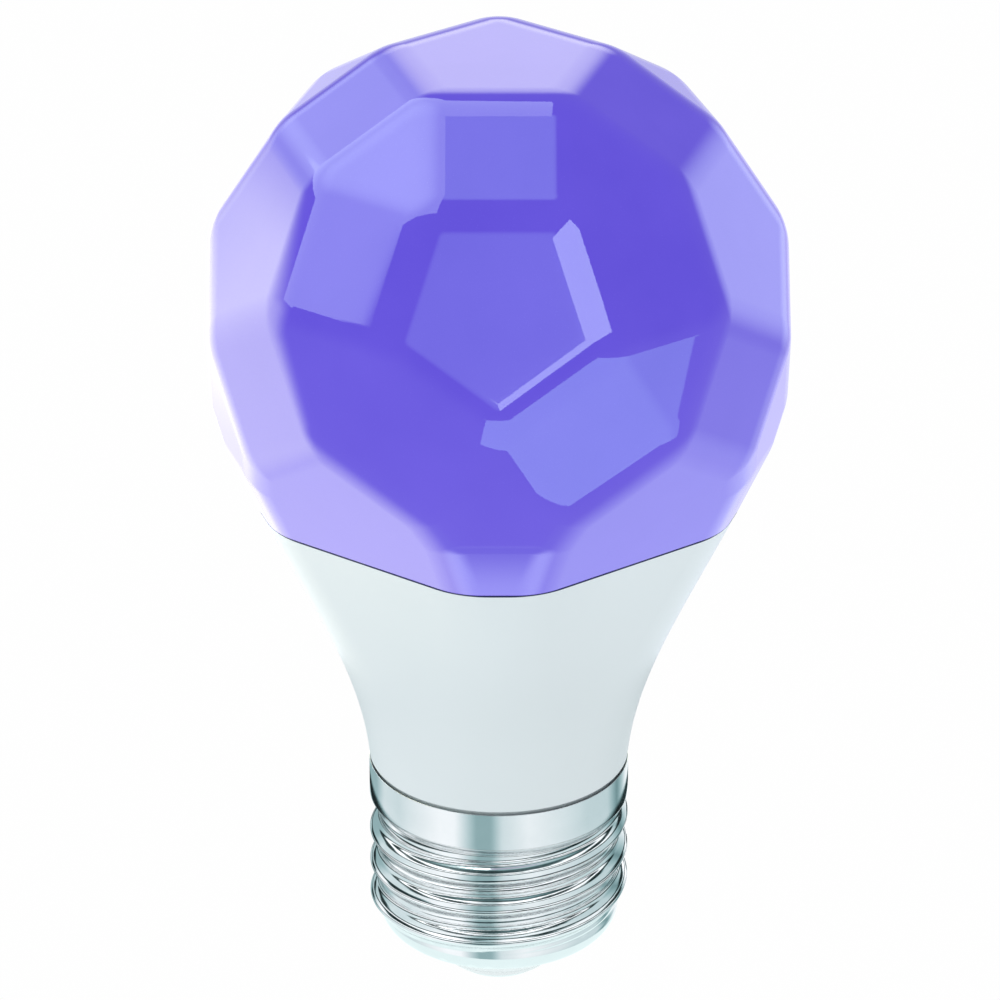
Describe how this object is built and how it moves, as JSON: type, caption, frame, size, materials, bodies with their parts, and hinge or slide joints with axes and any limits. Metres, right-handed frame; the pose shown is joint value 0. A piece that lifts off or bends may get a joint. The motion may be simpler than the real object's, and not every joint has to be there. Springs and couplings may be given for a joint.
{
  "type": "light bulb",
  "caption": "Smart LED bulb with a faceted violet diffuser, a white tapered housing and an E27 screw cap, with its light board, radio and driver inside.",
  "frame": {"origin": "tip of the centre contact, on the bulb's axis", "axes": "+Z along the bulb's axis from the cap up to the globe; one of the five housing corners points to -Y"},
  "size_m": [0.0568, 0.059, 0.1007],
  "materials": {
    "diffuser_plastic": "frosted violet, glossy skin",
    "white_plastic": "satin white",
    "nickel_plate": "bright nickel plate",
    "insulator_ceramic": "pale glaze",
    "silicone": "soft white",
    "aluminium_sheet": "pressed, satin",
    "thermal_silicone": "matte grey blue",
    "white_laminate": "white solder mask",
    "reflector_film": "matte white film",
    "warm_phosphor": "yellow resin in a white frame",
    "cool_phosphor": "pale yellow resin in a white frame",
    "clear_resin": "clear resin in a white frame",
    "tinned_metal": "tinned",
    "cream_plastic": "matte",
    "gilt_metal": "thin gold plate",
    "green_laminate": "green solder mask",
    "blue_laminate": "blue solder mask",
    "dark_sleeve": "printed sleeve left plain",
    "yellow_box": "moulded",
    "blue_epoxy": "dipped epoxy",
    "ferrite": "matte ceramic ferrite",
    "enamelled_copper": "enamelled wire",
    "yellow_tape": "polyester tape",
    "black_plastic": "moulded",
    "black_resin": "moulded epoxy",
    "fuse_lacquer": "lacquer",
    "shrink_tube": "shrink tube",
    "red_wire": "wire insulation",
    "blue_wire": "wire insulation"
  },
  "bodies": {
    "root": {"diffuser": "diffuser_plastic", "housing": "white_plastic", "screw_shell": "nickel_plate", "cap_insulator": "insulator_ceramic", "centre_contact": "nickel_plate", "diffuser_glue": "silicone", "cap_adhesive": "silicone", "heat_sink": "aluminium_sheet", "thermal_pad": "thermal_silicone", "led_board": "white_laminate", "reflector_sheet": "reflector_film", "warm_leds": "warm_phosphor", "cool_leds": "cool_phosphor", "colour_leds": "clear_resin", "board_screws": "tinned_metal", "led_connector": "cream_plastic", "led_pins": "gilt_metal", "driver_board": "green_laminate", "bulk_capacitor": "dark_sleeve", "output_capacitor": "dark_sleeve", "film_capacitor": "yellow_box", "varistor": "blue_epoxy", "choke_core": "ferrite", "choke_winding": "enamelled_copper", "transformer_core": "ferrite", "transformer_bobbin": "black_plastic", "transformer_winding": "yellow_tape", "bridge_rectifier": "black_resin", "driver_chip": "black_resin", "output_diode": "black_resin", "chip_resistors": "black_resin", "fuse_resistor": "fuse_lacquer", "fuse_sleeve": "shrink_tube", "component_leads": "tinned_metal", "radio_board": "blue_laminate", "radio_shield": "tinned_metal", "radio_antenna": "gilt_metal", "radio_pins": "gilt_metal", "live_lead": "red_wire", "neutral_lead": "blue_wire"}
  },
  "joints": []
}
